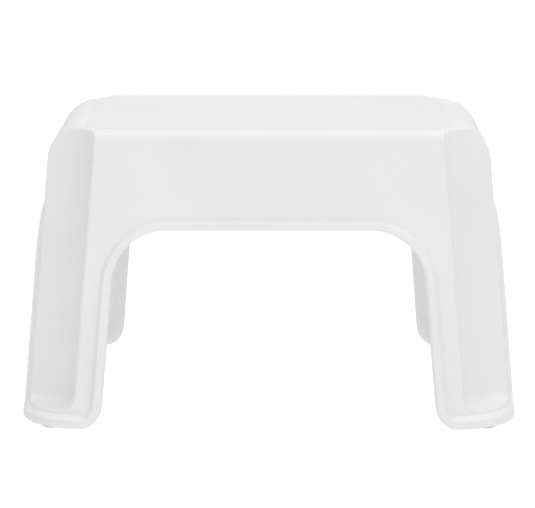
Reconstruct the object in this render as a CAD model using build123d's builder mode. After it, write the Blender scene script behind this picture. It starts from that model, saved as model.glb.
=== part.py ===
from build123d import *
from math import cos, hypot, pi, radians, sin
import os

os.makedirs("parts", exist_ok=True)

# A one-step stool moulded in one piece, on four splayed channel legs, with a
# rubber pad pressed into the sole of each leg. X runs across the width, Y from
# front to back and Z up; the origin is on the floor, below the tread's centre.

# Body, measured over its flat panels
HEIGHT = 235.0
FLOOR_WIDTH = 390.0
FLOOR_DEPTH = 291.0
SIDE_SLOPE = 0.080
FRONT_SLOPE = 0.147
WALL = 3.0
LEG_CORNER_RADIUS = 46.5

# Rounding between the tread and the walls, on evenly spaced sections that start below the curve
SHOULDER_RADIUS = 26.0
EDGE_RADIUS = 7.0
CURVE_STEPS = 12
CURVE_LEAD_STEPS = 3

# Tread: a grip field a little above the smooth border round it
GRIP_RISE = 0.5
GRIP_SLANT = 0.5
GRIP_WIDTH = 295.0
GRIP_DEPTH = 201.0
GRIP_CORNER_GAP = 4.0
GRIP_CORNER_RADIUS = 2.0
TREAD_THICKNESS = 3.5

# Hollow flute down the outside corner of each leg
FLUTE_RADIUS = 48.7
FLUTE_OUT_X = 9.4
FLUTE_OUT_Y = 8.4
FLUTE_LIP_RADIUS = 2.6
FLUTE_TOP_RADIUS = 2.2
FLUTE_FOOT = 14.5
FLUTE_FOOT_RADIUS = 12.0
FLUTE_FOOT_STEPS = 5
FIN_CORNER_RADIUS = 35.0

# Raised rim along the leg openings and round each foot, on a wall that is plain inside
RIM_RISE = 4.5
RIM_LAND = 6.5
RIM_SLANT = 3.4
RIM_CROWN_DROP = 2.0
RIM_RUN_ON = 4.0
RIM_EDGE_RADIUS = 2.4
RIM_EDGE_TURNS = (5, 28, 51, 75)
RIM_EDGE_RUN = 1.5
FOOT_BOTTOM = 2.0

# Openings between the legs
ARCH_TOP = 157.7
FRONT_ARCH_HALF = 134.2
FRONT_ARCH_SLOPE = 0.0864
FRONT_ARCH_RADIUS = 43.0
SIDE_ARCH_HALF = 88.0
SIDE_ARCH_SLOPE = 0.150
SIDE_ARCH_RADIUS = 40.0
FOOT_RADIUS = 21.0
FOOT_REACH = 40.0
FOOT_CLEARANCE = 1.5
BELOW_FLOOR = 12.0
OPENING_DEPTH = 50.0

# Stiffening ribs under the tread
RIB_DEPTH = 14.0
RIB_THICKNESS = 2.2
RIBS_ACROSS = 5
RIBS_ALONG = 2
RIB_PITCH_X = 52.0
RIB_PITCH_Y = 66.0

# Sole plate in each leg, and the pad pressed through it
SOLE_SIZE = 46.0
SOLE_THICKNESS = 3.0
SOLE_CORNER_RADIUS = 16.0
PAD_X = 169.5
PAD_Y = 122.0
PAD_RADIUS = 13.5
STEM_RADIUS = 3.5
HEAD_RADIUS = 5.0
HEAD_HEIGHT = 3.0
GROOVE_RADII = (5.5, 8.0, 10.5)
GROOVE_WIDTH = 1.0
GROOVE_DEPTH = 0.6

CORNERS = [(x, y) for x in (-1, 1) for y in (-1, 1)]
BORDER_TOP = HEIGHT - GRIP_RISE


def half_width(height):
    """Distance from the middle plane to a side panel."""
    return FLOOR_WIDTH / 2 - SIDE_SLOPE * height


def half_depth(height):
    """Distance from the middle plane to the front or back panel."""
    return FLOOR_DEPTH / 2 - FRONT_SLOPE * height


def drawn_in(rise, radius):
    """How far a rounded edge has drawn in, at a rise above the start of its curve."""
    return radius - (radius**2 - min(max(rise, 0.0), radius) ** 2) ** 0.5


def flute_centres(height):
    """The four points outside the corners that the flutes are struck from."""
    x = half_width(height) + FLUTE_OUT_X
    y = half_depth(height) + FLUTE_OUT_Y
    return [(x * side, y * end) for side, end in CORNERS]


def fluted_section(height, inset, top):
    """The body's outline at a height, with the flutes hollowed from its corners."""
    shoulder_radius = SHOULDER_RADIUS - inset
    edge_radius = EDGE_RADIUS - inset
    shoulder = drawn_in(height - (top - shoulder_radius), shoulder_radius)
    edge = drawn_in(height - (top - edge_radius), edge_radius)
    flute_radius = max(FLUTE_TOP_RADIUS - inset, 0.0)
    flute_edge = drawn_in(height - (top - flute_radius), flute_radius)
    foot = drawn_in(FLUTE_FOOT + FLUTE_FOOT_RADIUS - height, FLUTE_FOOT_RADIUS)
    with BuildSketch(Plane.XY.offset(height)) as outline:
        Rectangle(2 * (half_width(height) - inset - shoulder), 2 * (half_depth(height) - inset - edge))
        with Locations(*flute_centres(height)):
            Circle(FLUTE_RADIUS + inset + flute_edge - foot, mode=Mode.SUBTRACT)
        fillet(outline.vertices(), FLUTE_LIP_RADIUS - inset * 0.4)
    return outline.sketch


def round_block(*levels):
    """A block through levels of (height, growth, and a corner radius if it isn't the usual one)."""
    with BuildPart() as block:
        for height, growth, *radius in levels:
            with BuildSketch(Plane.XY.offset(height)):
                RectangleRounded(
                    2 * (half_width(height) + growth),
                    2 * (half_depth(height) + growth),
                    radius[0] if radius else LEG_CORNER_RADIUS + growth,
                )
        loft(ruled=True)
    return block.part


def fluted_body(inset, top, lowest):
    """The closed body from a height up to its top, drawn in all round by the inset."""
    radius = SHOULDER_RADIUS - inset
    turn = pi / 2 / CURVE_STEPS
    foot = [
        FLUTE_FOOT + FLUTE_FOOT_RADIUS * (1 - cos(pi / 2 * step / FLUTE_FOOT_STEPS))
        for step in range(FLUTE_FOOT_STEPS + 1)
    ]
    lead = [top - radius * (1 + turn * step) for step in range(CURVE_LEAD_STEPS, 0, -1)]
    curve = [top - radius * (1 - sin(turn * step)) for step in range(CURVE_STEPS + 1)]
    fins = FIN_CORNER_RADIUS - inset
    with BuildPart() as walls:
        loft([fluted_section(height, inset, top) for height in (lowest, *foot, lead[0])], ruled=True)
        round_foot = round_block(
            (lowest - 1.0, -inset),
            (FLUTE_FOOT, -inset),
            (FLUTE_FOOT + FLUTE_FOOT_RADIUS, -inset, fins),
            (lead[0] + 1.0, -inset, fins),
        )
        add(round_foot, mode=Mode.INTERSECT)
    with BuildPart() as crown:
        loft([fluted_section(height, inset, top) for height in (*lead, *curve)])
    return walls.part + crown.part


def rim_edge():
    """The rim's rounded edge, as pairs of (distance below its land, distance in from its edge)."""
    return [
        (RIM_EDGE_RADIUS * (1 - sin(radians(turn))), RIM_EDGE_RADIUS * (1 - cos(radians(turn))))
        for turn in RIM_EDGE_TURNS
    ]


class Opening:
    """An opening between two legs, and the rim that runs along its edge."""

    def __init__(self, panel, width, lean, half, slope, radius):
        self.panel = panel
        self.flat_half = width / 2 - LEG_CORNER_RADIUS
        self.stretch = hypot(1, lean)
        self.half = half
        self.slope = slope
        self.radius = radius

    def outline(self, plane, growth, drop):
        """The opening's edge, its crown lowered by a drop, on a plane parallel to the panel, then grown."""
        sole = (FOOT_BOTTOM - FOOT_CLEARANCE) * self.stretch
        crown = (ARCH_TOP - drop) * self.stretch
        floor_half = self.half - self.slope * FOOT_BOTTOM
        crown_half = self.half - self.slope * (ARCH_TOP - drop)
        foot_half = floor_half + FOOT_REACH
        with BuildSketch(plane) as sketch:
            with BuildLine():
                Polyline(
                    (-foot_half, -BELOW_FLOOR),
                    (-foot_half, sole),
                    (-floor_half, sole),
                    (-crown_half, crown),
                    (crown_half, crown),
                    (floor_half, sole),
                    (foot_half, sole),
                    (foot_half, -BELOW_FLOOR),
                    close=True,
                )
            make_face()
            fillet(sketch.vertices().filter_by_position(Axis.Y, crown - 1, crown + 1), self.radius)
            feet = sketch.vertices().filter_by_position(Axis.Y, sole - 1, sole + 1)
            fillet(feet.sort_by(lambda corner: abs(corner.X))[:2], FOOT_RADIUS)
            offset(amount=growth)
        return sketch.sketch

    def layers(self, steps, drop=0.0):
        """A solid through outlines at steps of (rise above the panel, growth)."""
        with BuildPart() as part:
            loft([self.outline(self.panel.offset(rise), growth, drop) for rise, growth in steps], ruled=True)
        return part.part

    def band(self):
        """The area inside the rim's foot, raised from the panel; its land is narrower over the crown."""
        slant = RIM_SLANT / RIM_RISE
        base = RIM_LAND + RIM_SLANT
        steps = [(rise, base - slant * rise) for rise in (-1.0, RIM_RISE + 1.0)]
        with BuildPart() as part:
            add(self.layers(steps, RIM_CROWN_DROP))
            with Locations(self.panel):
                Box(2 * (self.flat_half + RIM_RUN_ON), 3 * HEIGHT, HEIGHT, mode=Mode.INTERSECT)
        return part.part

    def cutter(self):
        """What is cut away for the opening: straight through the wall, then flared to round the rim's edge."""
        flare = [(RIM_RISE - in_rise, in_edge) for in_rise, in_edge in rim_edge()]
        rise, growth = flare[-1]
        turn = radians(RIM_EDGE_TURNS[-1])
        beyond = (rise + RIM_EDGE_RUN * cos(turn), growth + RIM_EDGE_RUN * sin(turn))
        return self.layers([(-OPENING_DEPTH, flare[0][1]), *flare, beyond])


def both_sides(solid, middle):
    """A solid and its reflection in a middle plane."""
    return solid + solid.mirror(middle)


front_panel = Plane((0, -half_depth(0), 0), x_dir=(1, 0, 0), z_dir=(0, -1, FRONT_SLOPE))
right_panel = Plane((half_width(0), 0, 0), x_dir=(0, 1, 0), z_dir=(1, 0, SIDE_SLOPE))
front_opening = Opening(
    front_panel, FLOOR_WIDTH, FRONT_SLOPE, FRONT_ARCH_HALF, FRONT_ARCH_SLOPE, FRONT_ARCH_RADIUS
)
side_opening = Opening(
    right_panel, FLOOR_DEPTH, SIDE_SLOPE, SIDE_ARCH_HALF, SIDE_ARCH_SLOPE, SIDE_ARCH_RADIUS
)
openings = ((front_opening, Plane.XZ), (side_opening, Plane.YZ))

foot_block = round_block((FOOT_BOTTOM, 0.0), (FLUTE_FOOT, 0.0))
foot_land = FOOT_BOTTOM + RIM_LAND + RIM_RISE * (FRONT_SLOPE + SIDE_SLOPE) / 2
rim_foot = [
    (FOOT_BOTTOM, RIM_RISE - RIM_EDGE_RADIUS),
    *[(FOOT_BOTTOM + in_edge, RIM_RISE - in_rise) for in_rise, in_edge in rim_edge()],
    (FOOT_BOTTOM + RIM_EDGE_RADIUS, RIM_RISE),
]

with BuildPart() as rim:
    for opening, middle in openings:
        add(both_sides(opening.band(), middle))
    add(round_block(*rim_foot, (ARCH_TOP + 40.0, RIM_RISE)), mode=Mode.INTERSECT)
    add(round_block(*rim_foot, (foot_land, RIM_RISE), (foot_land + RIM_SLANT, 0.0)))

outside = fluted_body(0.0, BORDER_TOP, FOOT_BOTTOM + SOLE_THICKNESS)
inside = fluted_body(WALL, HEIGHT - TREAD_THICKNESS, FOOT_BOTTOM - 1.0)
foot_hollow = round_block((FOOT_BOTTOM - 1.0, -WALL), (FLUTE_FOOT - WALL, -WALL))

with BuildPart() as grip_field:
    for height, growth in ((BORDER_TOP - 0.5, GRIP_SLANT), (BORDER_TOP, GRIP_SLANT), (HEIGHT, 0.0)):
        with BuildSketch(Plane.XY.offset(height)) as field:
            Rectangle(GRIP_WIDTH + 2 * growth, GRIP_DEPTH + 2 * growth)
            with Locations(*flute_centres(HEIGHT)):
                Circle(FLUTE_RADIUS + FLUTE_TOP_RADIUS + GRIP_CORNER_GAP - growth, mode=Mode.SUBTRACT)
            fillet(field.vertices(), GRIP_CORNER_RADIUS)
    loft(ruled=True)

with BuildPart() as ribs:
    with Locations((0, 0, HEIGHT - TREAD_THICKNESS - RIB_DEPTH)):
        with GridLocations(RIB_PITCH_X, 0, RIBS_ACROSS, 1):
            Box(RIB_THICKNESS, FLOOR_DEPTH, RIB_DEPTH + 1, align=(Align.CENTER, Align.CENTER, Align.MIN))
        with GridLocations(0, RIB_PITCH_Y, 1, RIBS_ALONG):
            Box(FLOOR_WIDTH, RIB_THICKNESS, RIB_DEPTH + 1, align=(Align.CENTER, Align.CENTER, Align.MIN))
    add(outside, mode=Mode.INTERSECT)

with BuildPart() as soles:
    with BuildSketch(Plane.XY.offset(FOOT_BOTTOM)) as plate:
        with GridLocations(FLOOR_WIDTH - SOLE_SIZE, FLOOR_DEPTH - SOLE_SIZE, 2, 2):
            Rectangle(SOLE_SIZE, SOLE_SIZE)
        inner = plate.vertices().sort_by(lambda corner: abs(corner.X) + abs(corner.Y))[:4]
        fillet(inner, SOLE_CORNER_RADIUS)
    extrude(amount=SOLE_THICKNESS)
    add(foot_block, mode=Mode.INTERSECT)

with BuildPart() as stool_shell:
    add(outside)
    add(grip_field)
    add(foot_block)
    add(rim)
    add(inside, mode=Mode.SUBTRACT)
    add(foot_hollow, mode=Mode.SUBTRACT)
    add(ribs)
    add(soles)
    for opening, middle in openings:
        add(both_sides(opening.cutter(), middle), mode=Mode.SUBTRACT)
    with Locations(*[(x * PAD_X, y * PAD_Y, FOOT_BOTTOM) for x, y in CORNERS]):
        Hole(STEM_RADIUS, depth=3 * SOLE_THICKNESS)
stool_shell.part.label = "stool_shell"
export_step(stool_shell.part, "parts/stool_shell.step")


def foot_pad(x, y):
    """A rubber pad: a grooved disc on the floor, and a stem and head through the sole."""
    stem_top = FOOT_BOTTOM + SOLE_THICKNESS
    with BuildPart(Plane((x, y, 0))) as pad:
        with BuildSketch(Plane((x, y, 0), x_dir=(1, 0, 0), z_dir=(0, -1, 0))) as profile:
            with BuildLine():
                Polyline(
                    (0, 0),
                    (PAD_RADIUS, 0),
                    (PAD_RADIUS, FOOT_BOTTOM),
                    (STEM_RADIUS, FOOT_BOTTOM),
                    (STEM_RADIUS, stem_top),
                    (HEAD_RADIUS, stem_top),
                    (STEM_RADIUS, stem_top + HEAD_HEIGHT),
                    (0, stem_top + HEAD_HEIGHT),
                    close=True,
                )
            make_face()
            for groove in GROOVE_RADII:
                with Locations((groove, 0)):
                    Rectangle(GROOVE_WIDTH, 2 * GROOVE_DEPTH, mode=Mode.SUBTRACT)
        revolve(axis=Axis((x, y, 0), (0, 0, 1)))
    return pad.part


for side_name, x in (("left", -PAD_X), ("right", PAD_X)):
    for end_name, y in (("front", -PAD_Y), ("back", PAD_Y)):
        pad = foot_pad(x, y)
        pad.label = f"pad_{end_name}_{side_name}"
        export_step(pad, f"parts/{pad.label}.step")
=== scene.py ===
import math

import bmesh
import bpy
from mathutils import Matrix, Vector, noise


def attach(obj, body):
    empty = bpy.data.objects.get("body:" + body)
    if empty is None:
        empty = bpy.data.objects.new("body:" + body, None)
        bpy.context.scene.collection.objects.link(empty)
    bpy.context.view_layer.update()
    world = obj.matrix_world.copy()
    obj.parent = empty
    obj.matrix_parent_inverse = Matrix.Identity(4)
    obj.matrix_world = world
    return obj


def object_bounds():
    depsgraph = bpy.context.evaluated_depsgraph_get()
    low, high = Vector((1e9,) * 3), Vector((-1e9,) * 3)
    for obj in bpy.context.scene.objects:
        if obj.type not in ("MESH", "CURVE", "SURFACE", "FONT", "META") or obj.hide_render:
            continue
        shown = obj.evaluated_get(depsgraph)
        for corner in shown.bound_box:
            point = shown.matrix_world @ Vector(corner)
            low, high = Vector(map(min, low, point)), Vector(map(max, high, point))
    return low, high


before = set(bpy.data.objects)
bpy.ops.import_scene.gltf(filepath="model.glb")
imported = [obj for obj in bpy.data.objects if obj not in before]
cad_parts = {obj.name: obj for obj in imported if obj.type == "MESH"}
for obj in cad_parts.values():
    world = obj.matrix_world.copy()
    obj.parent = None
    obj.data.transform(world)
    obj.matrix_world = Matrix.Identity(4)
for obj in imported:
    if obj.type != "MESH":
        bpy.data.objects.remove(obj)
cad_low, cad_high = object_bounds()

SHELL = "stool_shell"
HEIGHT = cad_high.z
SLOT = "shell_plastic"

# Camera: a long lens, a little above the tread, looking almost straight at the front
CAMERA_PLACE = (0.0105, -2.057, 0.5301)
CAMERA_PITCH = 11.43
CAMERA_TURN = 0.34
CAMERA_LENS = 167.8
CAMERA_SENSOR = 36.0
CAMERA_SIGHT = 50.0

# Studio: a white room that is brighter on some sides, a glowing white floor and soft lamps.
# The floor is seen but lights nothing itself; the light from below is the room's.
ROOM_GLOW = 0.50
# (direction, strength): one broad patch of light on that side of the room
ROOM_SIDES = {
    "up": ((0.0, 0.0, 1.0), 0.12),
    "down": ((0.0, 0.0, -1.0), 0.60),
    "front": ((0.0, -1.0, 0.0), 0.32),
    "back": ((0.0, 1.0, 0.0), 0.27),
    "right": ((1.0, 0.0, 0.0), 0.11),
}
FLOOR_HALF = 6.0
FLOOR_SHADE = 0.1
FLOOR_GLOW = 1.0
FLOOR_ROUGHNESS = 0.9
LAMP_AIM = (0.0, 0.0, 0.12)
LAMP_REACH = 3.0
LAMP_SIZE = (2.0, 2.0)
# (azimuth and elevation in degrees, power in watts); azimuth 0 is in front, 90 to the right
LAMPS = {
    "overhead": (0.0, 90.0, 3.0),
    "front": (0.0, 15.0, 9.0),
    "high_left": (-90.0, 60.0, 15.5),
    "high_right": (90.0, 60.0, 21.0),
}

# Shading of the CAD pieces: edges that turn by more than this stay sharp
WELD_DISTANCE = 0.00001
SHARP_ANGLE = 34.0

# Materials. A noise's useful range is the middle of its 0 to 1; scales are features per metre.
NOISE_RANGE = (0.3, 0.7)
PLASTIC_IOR = 1.49
PLASTIC_DARK = (0.983, 0.983, 0.997)
PLASTIC_LIGHT = (1.017, 1.017, 1.031)
FLOW_SCALE = 14.0
SATIN_SCALE = 60.0
SATIN_SPREAD = (-0.04, 0.05)
SINK_SCALE = 22.0
SINK_DEPTH = 0.0006
SINK_STRENGTH = 0.35
GRAIN_STRENGTH = 0.6
RUBBER_IOR = 1.5
RUBBER_DARK = (0.085, 0.085, 0.088)
RUBBER_LIGHT = (0.125, 0.125, 0.128)
RUBBER_ROUGHNESS = (0.62, 0.80)
BLOOM_SCALE = 220.0
RUBBER_PATCH_SCALE = 400.0
RUBBER_GRAIN_SCALE = 1500.0
RUBBER_GRAIN_DEPTH = 0.0001
RUBBER_GRAIN_STRENGTH = 0.5

# Grip texture on the tread: moulded grain, as fine geometry on a thin closed slab. The field is a
# rectangle with a round bite out of each corner, round the top of the leg's flute.
GRIP_HALF_WIDTH = 0.1475
GRIP_HALF_DEPTH = 0.1005
GRIP_BITE_PLACE = (0.1856, 0.1194)
GRIP_BITE_RADIUS = 0.0549
GRIP_CELL = 0.0010
GRIP_GRAIN = 0.0030
GRIP_PEAK = 0.0002
GRIP_SINK = 0.00015
GRIP_EDGE = 0.0012
GRIP_BASE = 0.55
GRIP_LARGE = 0.75
GRIP_SMALL = 0.4
GRIP_SMALL_SCALE = 2.1
GRIP_SMALL_SHIFT = (7.0, 3.0, 1.0)
GRIP_THICKNESS = 0.0008


def add_camera():
    """The photograph's viewpoint."""
    data = bpy.data.cameras.new("camera")
    data.lens = CAMERA_LENS
    data.sensor_width = CAMERA_SENSOR
    data.clip_end = CAMERA_SIGHT
    camera = bpy.data.objects.new("camera", data)
    camera.location = CAMERA_PLACE
    camera.rotation_euler = (math.radians(90.0 - CAMERA_PITCH), 0.0, math.radians(CAMERA_TURN))
    bpy.context.scene.collection.objects.link(camera)
    bpy.context.scene.camera = camera


def add_lamp(name, azimuth, elevation, power):
    """A soft square lamp, turned towards the stool from a bearing."""
    across, up = math.radians(azimuth), math.radians(elevation)
    bearing = Vector((math.sin(across) * math.cos(up), -math.cos(across) * math.cos(up),
                      math.sin(up)))
    data = bpy.data.lights.new(name, "AREA")
    data.shape = "RECTANGLE"
    data.size, data.size_y = LAMP_SIZE
    data.energy = power
    lamp = bpy.data.objects.new(name, data)
    lamp.location = Vector(LAMP_AIM) + LAMP_REACH * bearing
    lamp.rotation_euler = (-bearing).to_track_quat("-Z", "Y").to_euler()
    bpy.context.scene.collection.objects.link(lamp)


def add_room():
    """The studio's walls and ceiling, as light from far away."""
    world = bpy.data.worlds.new("studio")
    world.use_nodes = True
    tree = world.node_tree
    direction = tree.nodes.new("ShaderNodeTexCoord").outputs["Generated"]
    total = ROOM_GLOW
    for side, strength in ROOM_SIDES.values():
        facing = tree.nodes.new("ShaderNodeVectorMath")
        facing.operation = "DOT_PRODUCT"
        tree.links.new(direction, facing.inputs[0])
        facing.inputs[1].default_value = side
        towards = tree.nodes.new("ShaderNodeMath")
        towards.operation = "MAXIMUM"
        towards.inputs[1].default_value = 0.0
        tree.links.new(facing.outputs["Value"], towards.inputs[0])
        patch = tree.nodes.new("ShaderNodeMath")
        patch.operation = "MULTIPLY_ADD"
        patch.inputs[1].default_value = strength
        tree.links.new(towards.outputs["Value"], patch.inputs[0])
        if isinstance(total, float):
            patch.inputs[2].default_value = total
        else:
            tree.links.new(total, patch.inputs[2])
        total = patch.outputs["Value"]
    tree.links.new(total, tree.nodes["Background"].inputs["Strength"])
    tree.nodes["Background"].inputs["Color"].default_value = (1.0, 1.0, 1.0, 1.0)
    bpy.context.scene.world = world


def add_floor():
    """A plain white floor that also fills the background."""
    mesh = bpy.data.meshes.new("floor")
    half = FLOOR_HALF
    corners = [(-half, -half, 0), (half, -half, 0), (half, half, 0), (-half, half, 0)]
    mesh.from_pydata(corners, [], [(0, 1, 2, 3)])
    floor = bpy.data.objects.new("floor", mesh)
    bpy.context.scene.collection.objects.link(floor)
    material = bpy.data.materials.new("floor_white")
    material.use_nodes = True
    shader = material.node_tree.nodes["Principled BSDF"]
    shader.inputs["Base Color"].default_value = (FLOOR_SHADE, FLOOR_SHADE, FLOOR_SHADE, 1.0)
    shader.inputs["Roughness"].default_value = FLOOR_ROUGHNESS
    shader.inputs["Specular IOR Level"].default_value = 0.0
    shader.inputs["Emission Color"].default_value = (1.0, 1.0, 1.0, 1.0)
    shader.inputs["Emission Strength"].default_value = FLOOR_GLOW
    mesh.materials.append(material)
    floor.visible_diffuse = False
    floor.visible_glossy = False


class Nodes:
    """Short calls for building one material's nodes."""

    def __init__(self, name):
        self.material = bpy.data.materials.new(name)
        self.material.use_nodes = True
        self.tree = self.material.node_tree
        self.shader = self.tree.nodes["Principled BSDF"]
        self.place = self.add("ShaderNodeTexCoord").outputs["Object"]

    def add(self, kind, **settings):
        node = self.tree.nodes.new(kind)
        for name, value in settings.items():
            setattr(node, name, value)
        return node

    def link(self, output, socket):
        self.tree.links.new(output, socket)

    def noise(self, scale, detail, roughness=0.5):
        """Noise from 0 to 1 at a scale of features per metre."""
        node = self.add("ShaderNodeTexNoise")
        self.link(self.place, node.inputs["Vector"])
        node.inputs["Scale"].default_value = scale
        node.inputs["Detail"].default_value = detail
        node.inputs["Roughness"].default_value = roughness
        return node.outputs["Fac"]

    def spread(self, value, low, high):
        """The middle of a noise's range spread between two numbers."""
        node = self.add("ShaderNodeMapRange")
        self.link(value, node.inputs["Value"])
        node.inputs["From Min"].default_value, node.inputs["From Max"].default_value = NOISE_RANGE
        node.inputs["To Min"].default_value = low
        node.inputs["To Max"].default_value = high
        return node.outputs["Result"]

    def tint(self, value, dark, light):
        """A colour between two others."""
        node = self.add("ShaderNodeMix", data_type="RGBA")
        self.link(value, node.inputs["Factor"])
        node.inputs[6].default_value = (*dark, 1.0)
        node.inputs[7].default_value = (*light, 1.0)
        return node.outputs[2]

    def bump(self, height, distance, strength, under=None):
        """Fine relief of a height field, over another one if given."""
        node = self.add("ShaderNodeBump")
        node.inputs["Distance"].default_value = distance
        node.inputs["Strength"].default_value = strength
        self.link(height, node.inputs["Height"])
        if under:
            self.link(under, node.inputs["Normal"])
        return node.outputs["Normal"]


def moulded_plastic(name, shade, grain_scale, grain_depth, rough):
    """White polypropylene: satin, with a fine mould finish, faint flow marks and a hint of sink."""
    nodes = Nodes(name)
    shader = nodes.shader
    flow = nodes.spread(nodes.noise(FLOW_SCALE, 3.0), 0.0, 1.0)
    dark = [shade * part for part in PLASTIC_DARK]
    light = [shade * part for part in PLASTIC_LIGHT]
    nodes.link(nodes.tint(flow, dark, light), shader.inputs["Base Color"])
    satin = nodes.spread(nodes.noise(SATIN_SCALE, 4.0), rough + SATIN_SPREAD[0], rough + SATIN_SPREAD[1])
    nodes.link(satin, shader.inputs["Roughness"])
    sink = nodes.bump(nodes.noise(SINK_SCALE, 1.0), SINK_DEPTH, SINK_STRENGTH)
    grain = nodes.bump(nodes.noise(grain_scale, 3.0, 0.6), grain_depth, GRAIN_STRENGTH, sink)
    nodes.link(grain, shader.inputs["Normal"])
    shader.inputs["IOR"].default_value = PLASTIC_IOR
    return nodes.material


def pad_rubber():
    """Dark grey rubber with a dusty, uneven bloom."""
    nodes = Nodes("pad_rubber")
    shader = nodes.shader
    bloom = nodes.spread(nodes.noise(BLOOM_SCALE, 5.0, 0.6), 0.0, 1.0)
    nodes.link(nodes.tint(bloom, RUBBER_DARK, RUBBER_LIGHT), shader.inputs["Base Color"])
    patches = nodes.spread(nodes.noise(RUBBER_PATCH_SCALE, 3.0), *RUBBER_ROUGHNESS)
    nodes.link(patches, shader.inputs["Roughness"])
    grain = nodes.noise(RUBBER_GRAIN_SCALE, 4.0, 0.7)
    nodes.link(nodes.bump(grain, RUBBER_GRAIN_DEPTH, RUBBER_GRAIN_STRENGTH), shader.inputs["Normal"])
    shader.inputs["IOR"].default_value = RUBBER_IOR
    return nodes.material


def grip_margin(x, y):
    """How far a point of the tread is inside the grip field; below nothing outside it."""
    reach = math.hypot(GRIP_BITE_PLACE[0] - abs(x), GRIP_BITE_PLACE[1] - abs(y))
    bite = reach - GRIP_BITE_RADIUS
    return min(GRIP_HALF_WIDTH - abs(x), GRIP_HALF_DEPTH - abs(y), bite)


def grip_height(x, y):
    """The grain's surface: pebbles of two sizes that sink below the tread at the field's edge."""
    here = Vector((x, y, 0.0))
    large = noise.noise(here / GRIP_GRAIN)
    small = noise.noise(here * GRIP_SMALL_SCALE / GRIP_GRAIN + Vector(GRIP_SMALL_SHIFT))
    mixed = GRIP_BASE + GRIP_LARGE * large + GRIP_SMALL * small
    grain = GRIP_PEAK * min(1.0, max(0.0, mixed))
    rise = min(1.0, max(0.0, grip_margin(x, y) / GRIP_EDGE))
    return HEIGHT - GRIP_SINK + (GRIP_SINK + grain) * rise * rise * (3.0 - 2.0 * rise)


def add_grip(material):
    """The tread's grain as a closed slab, its underside sunk into the tread."""
    across = round(2 * GRIP_HALF_WIDTH / GRIP_CELL)
    along = round(2 * GRIP_HALF_DEPTH / GRIP_CELL)
    shape = bmesh.new()
    corners = {}
    square = ((0, 0), (1, 0), (1, 1), (0, 1))

    def corner(column, row):
        if (column, row) not in corners:
            x = (column / across * 2 - 1) * GRIP_HALF_WIDTH
            y = (row / along * 2 - 1) * GRIP_HALF_DEPTH
            corners[column, row] = shape.verts.new((x, y, grip_height(x, y)))
        return corners[column, row]

    for column in range(across):
        for row in range(along):
            x = ((column + 0.5) / across * 2 - 1) * GRIP_HALF_WIDTH
            y = ((row + 0.5) / along * 2 - 1) * GRIP_HALF_DEPTH
            if grip_margin(x, y) > 0:
                shape.faces.new([corner(column + a, row + b) for a, b in square])
    rim = [edge for edge in shape.edges if edge.is_boundary]
    skirt = bmesh.ops.extrude_edge_only(shape, edges=rim)["geom"]
    for vertex in skirt:
        if isinstance(vertex, bmesh.types.BMVert):
            vertex.co.z = HEIGHT - GRIP_THICKNESS
    bmesh.ops.holes_fill(shape, edges=[edge for edge in shape.edges if edge.is_boundary])
    bmesh.ops.recalc_face_normals(shape, faces=shape.faces)
    for face in shape.faces:
        face.smooth = True
    mesh = bpy.data.meshes.new("tread_grip")
    shape.to_mesh(mesh)
    shape.free()
    mesh.materials.append(material)
    grip = bpy.data.objects.new("tread_grip", mesh)
    bpy.context.scene.collection.objects.link(grip)
    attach(grip, "root")


def shading_group():
    """Modifier nodes that join the CAD's faces and leave only the real corners sharp."""
    tree = bpy.data.node_groups.new("even_shading", "GeometryNodeTree")
    tree.interface.new_socket("Geometry", in_out="INPUT", socket_type="NodeSocketGeometry")
    tree.interface.new_socket("Geometry", in_out="OUTPUT", socket_type="NodeSocketGeometry")
    tree.is_modifier = True
    geometry = tree.nodes.new("NodeGroupInput").outputs[0]
    merge = tree.nodes.new("GeometryNodeMergeByDistance")
    merge.inputs["Distance"].default_value = WELD_DISTANCE
    tree.links.new(geometry, merge.inputs["Geometry"])
    geometry = merge.outputs["Geometry"]
    sharp = tree.nodes.new("FunctionNodeCompare")
    sharp.operation = "GREATER_THAN"
    sharp.inputs["B"].default_value = math.radians(SHARP_ANGLE)
    angle = tree.nodes.new("GeometryNodeInputMeshEdgeAngle")
    tree.links.new(angle.outputs["Unsigned Angle"], sharp.inputs["A"])
    for domain, smooth in (("FACE", True), ("EDGE", True), ("EDGE", False)):
        shade = tree.nodes.new("GeometryNodeSetShadeSmooth")
        shade.domain = domain
        shade.inputs["Shade Smooth"].default_value = smooth
        if not smooth:
            tree.links.new(sharp.outputs["Result"], shade.inputs["Selection"])
        tree.links.new(geometry, shade.inputs["Geometry"])
        geometry = shade.outputs["Geometry"]
    tree.links.new(geometry, tree.nodes.new("NodeGroupOutput").inputs[0])
    return tree


def cover(node, material, shading):
    """Gives a CAD node a material, and even shading across its small facets."""
    node.data.materials.clear()
    node.data.materials.append(material)
    node.modifiers.new("even_shading", "NODES").node_group = shading
    weights = node.modifiers.new("weighted_normals", "WEIGHTED_NORMAL")
    weights.keep_sharp = True


plastic = moulded_plastic(SLOT, 0.81, 2600.0, 0.00006, 0.34)
# The grip's copy of the shell plastic has a rougher finish and a coarser grain. Its base is painted
# darker (0.775 against 0.81) as painted shade for the shadow in its grain.
grip_shaded_plastic = moulded_plastic("grip_shaded_plastic", 0.775, 700.0, 0.0004, 0.52)
rubber = pad_rubber()
shading = shading_group()
for name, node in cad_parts.items():
    cover(node, plastic if name == SHELL else rubber, shading)
add_grip(grip_shaded_plastic)

add_camera()
add_room()
add_floor()
for name, lamp in LAMPS.items():
    add_lamp(name, *lamp)
bpy.context.scene.view_settings.view_transform = "Standard"
